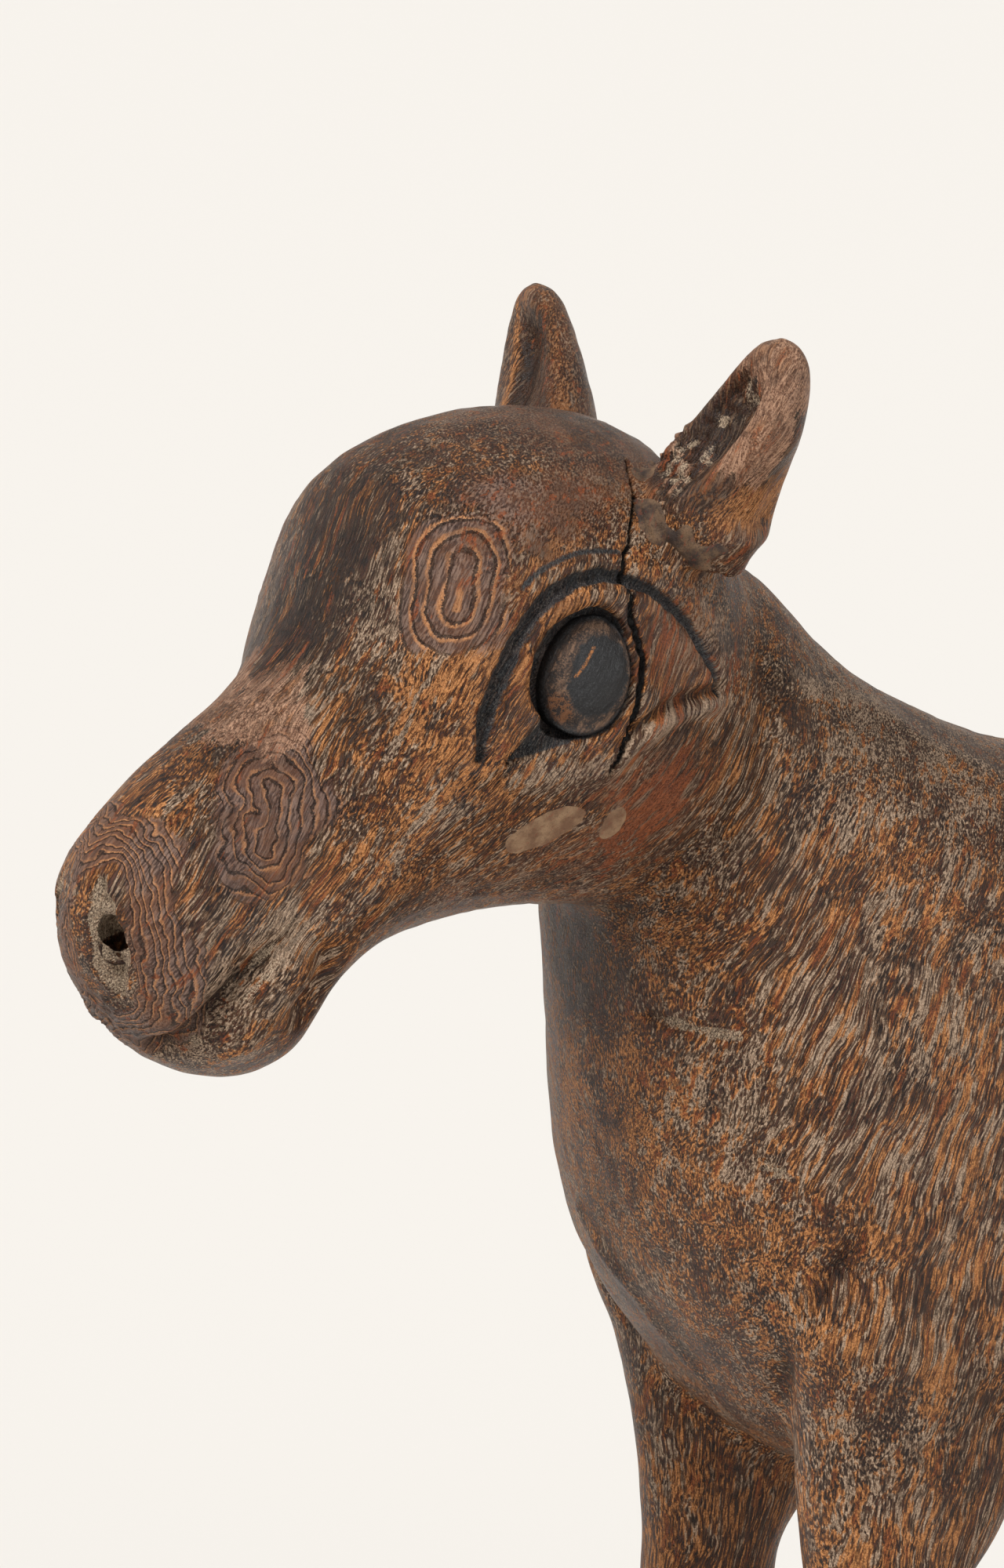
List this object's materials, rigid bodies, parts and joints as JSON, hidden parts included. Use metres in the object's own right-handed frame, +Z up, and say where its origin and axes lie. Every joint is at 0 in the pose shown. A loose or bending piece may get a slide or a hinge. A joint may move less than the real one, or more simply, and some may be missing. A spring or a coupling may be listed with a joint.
{
  "type": "carved animal statue",
  "caption": "Carved hardwood statue of a short-necked, big-eyed calf-like animal standing on four straight legs, with pegged head, ears, lower legs and tail",
  "frame": {"origin": "on the floor, in the middle of the statue's length and width, at the height of the soles", "axes": "+Z up; the animal faces -Y; its left side is +X; the statue is symmetric about the plane X = 0 apart from filler on the left"},
  "size_m": [0.112, 0.395, 0.3813],
  "materials": {
    "carved_wood": "dark brown stain worn through to orange-brown hardwood along the grain, waxed satin",
    "ear_wood": "dark stain rubbed down to tan bare wood at the rims",
    "painted_eye": "carved wood with a black painted pupil in a rubbed brown iris",
    "filler": "tan wood filler, dull and slightly gritty",
    "peg_wood": "plain light hardwood dowel, unfinished"
  },
  "bodies": {
    "root": {"body": "carved_wood", "head": "carved_wood", "ear_left": "ear_wood", "ear_right": "ear_wood", "eye_left": "painted_eye", "eye_right": "painted_eye", "lower_leg_front_left": "carved_wood", "lower_leg_front_right": "carved_wood", "lower_leg_rear_left": "carved_wood", "lower_leg_rear_right": "carved_wood", "tail": "carved_wood", "neck_peg_upper": "peg_wood", "neck_peg_lower": "peg_wood", "leg_peg_front_left": "peg_wood", "leg_peg_front_right": "peg_wood", "leg_peg_rear_left": "peg_wood", "leg_peg_rear_right": "peg_wood", "ear_filler_left": "filler", "cheek_filler_front": "filler", "cheek_filler_back": "filler"}
  },
  "joints": []
}
